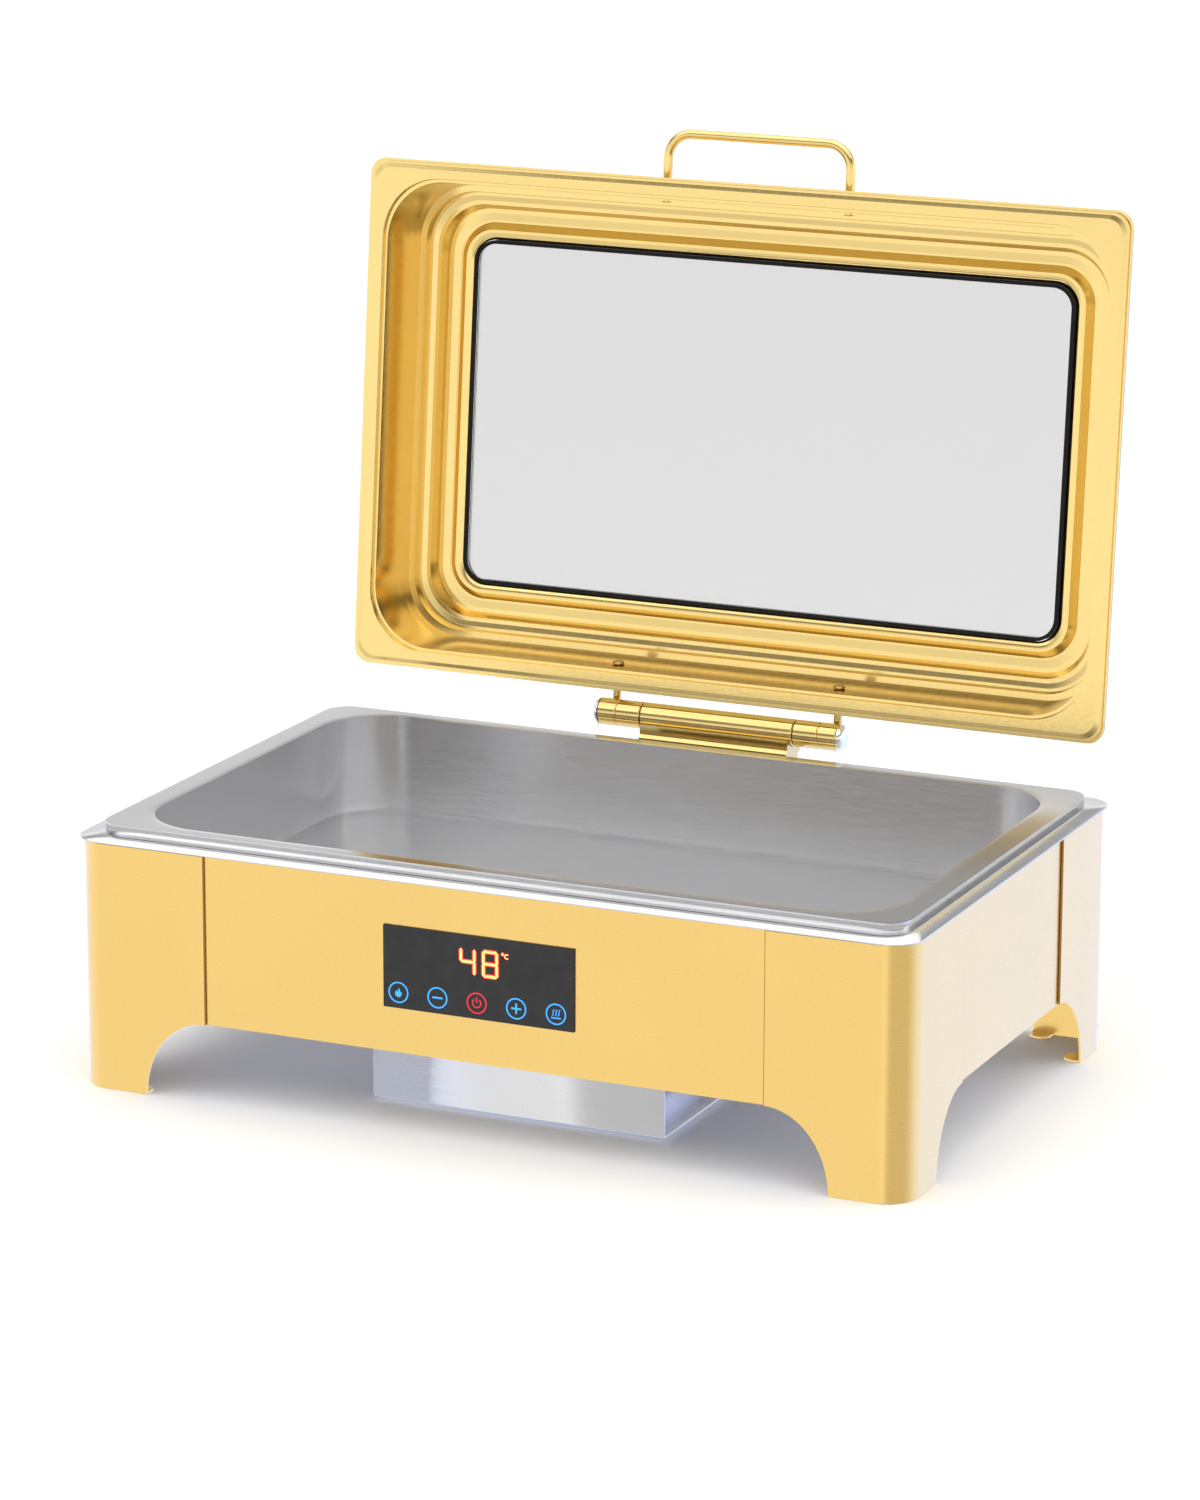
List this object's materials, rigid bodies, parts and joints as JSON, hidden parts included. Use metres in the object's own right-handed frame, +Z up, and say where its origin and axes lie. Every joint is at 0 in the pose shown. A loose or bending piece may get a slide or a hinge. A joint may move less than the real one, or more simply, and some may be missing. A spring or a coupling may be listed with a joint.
{
  "type": "roll top chafer",
  "caption": "Rectangular electric buffet chafer with a hinged glazed lid held open, a lift-out food pan over a water pan, corner legs and a touch control panel.",
  "frame": {"origin": "middle of the footprint of the whole object with its lid open, on the table it stands on", "axes": "+Z up, -Y towards the person at the control panel, +X to that person's right"},
  "size_m": [0.553, 0.4498, 0.552],
  "materials": {
    "gold_satin": "gold-coloured stainless sheet, satin",
    "gold_polished": "gold-coloured stainless, polished",
    "steel": "stainless steel, fine satin",
    "zinc_steel": "zinc-plated steel",
    "glass": "clear tempered glass",
    "black_rubber": "black silicone rubber",
    "black_glass": "dark printed glass, glossy",
    "black_plastic": "black moulded plastic",
    "circuit_board": "green circuit board",
    "led_display": "red display block",
    "aluminium": "plain cast plate",
    "ceramic_fibre": "pressed fibre board",
    "lead_jacket": "grey silicone insulation"
  },
  "bodies": {
    "chafer": {"clamp_nut_front": "zinc_steel", "clamp_nut_rear": "zinc_steel", "control_board": "circuit_board", "control_glass": "black_glass", "control_housing": "black_plastic", "cover_screw_1": "zinc_steel", "cover_screw_2": "zinc_steel", "cover_screw_3": "zinc_steel", "cover_screw_4": "zinc_steel", "display_module": "led_display", "front_panel": "gold_satin", "heater_clamp": "zinc_steel", "heater_insulation": "ceramic_fibre", "heater_lead": "lead_jacket", "heating_element": "zinc_steel", "heating_plate": "aluminium", "hinge_barrel": "gold_polished", "hinge_base": "gold_polished", "hinge_base_screw_left": "gold_polished", "hinge_base_screw_right": "gold_polished", "hinge_damper": "black_plastic", "hinge_spring": "zinc_steel", "inlet_screw_left": "zinc_steel", "inlet_screw_right": "zinc_steel", "left_panel": "gold_satin", "leg_front_left": "gold_satin", "leg_front_right": "gold_satin", "leg_rear_left": "gold_satin", "leg_rear_right": "gold_satin", "mains_lead": "lead_jacket", "power_inlet": "black_plastic", "rear_panel": "gold_satin", "right_panel": "gold_satin", "sensor_lead": "lead_jacket", "temperature_sensor": "zinc_steel", "thermal_cutout": "black_plastic", "under_cover": "steel", "water_pan": "steel", "weld_stud_front": "zinc_steel", "weld_stud_rear": "zinc_steel"},
    "lid": {"lid_shell": "gold_polished", "lid_glass": "glass", "glass_gasket": "black_rubber", "lid_handle": "gold_polished", "handle_screw_left": "gold_polished", "handle_screw_right": "gold_polished", "lid_screw_left": "gold_polished", "lid_screw_right": "gold_polished", "hinge_arm_left": "gold_polished", "hinge_arm_right": "gold_polished", "hinge_end_cap_left": "gold_polished", "hinge_end_cap_right": "gold_polished", "hinge_axle": "zinc_steel"},
    "pan": {"food_pan": "steel"}
  },
  "joints": [
    {"name": "lid_hinge", "type": "hinge", "parent": "chafer", "child": "lid", "pos_m": [0, 0.1425, 0.1746], "axis": [1, 0, 0], "range_deg": [0, 95.5]},
    {"name": "food_pan_lift", "type": "slide", "parent": "chafer", "child": "pan", "axis": [0, 0, 1], "range_m": [0, 0.2]}
  ]
}
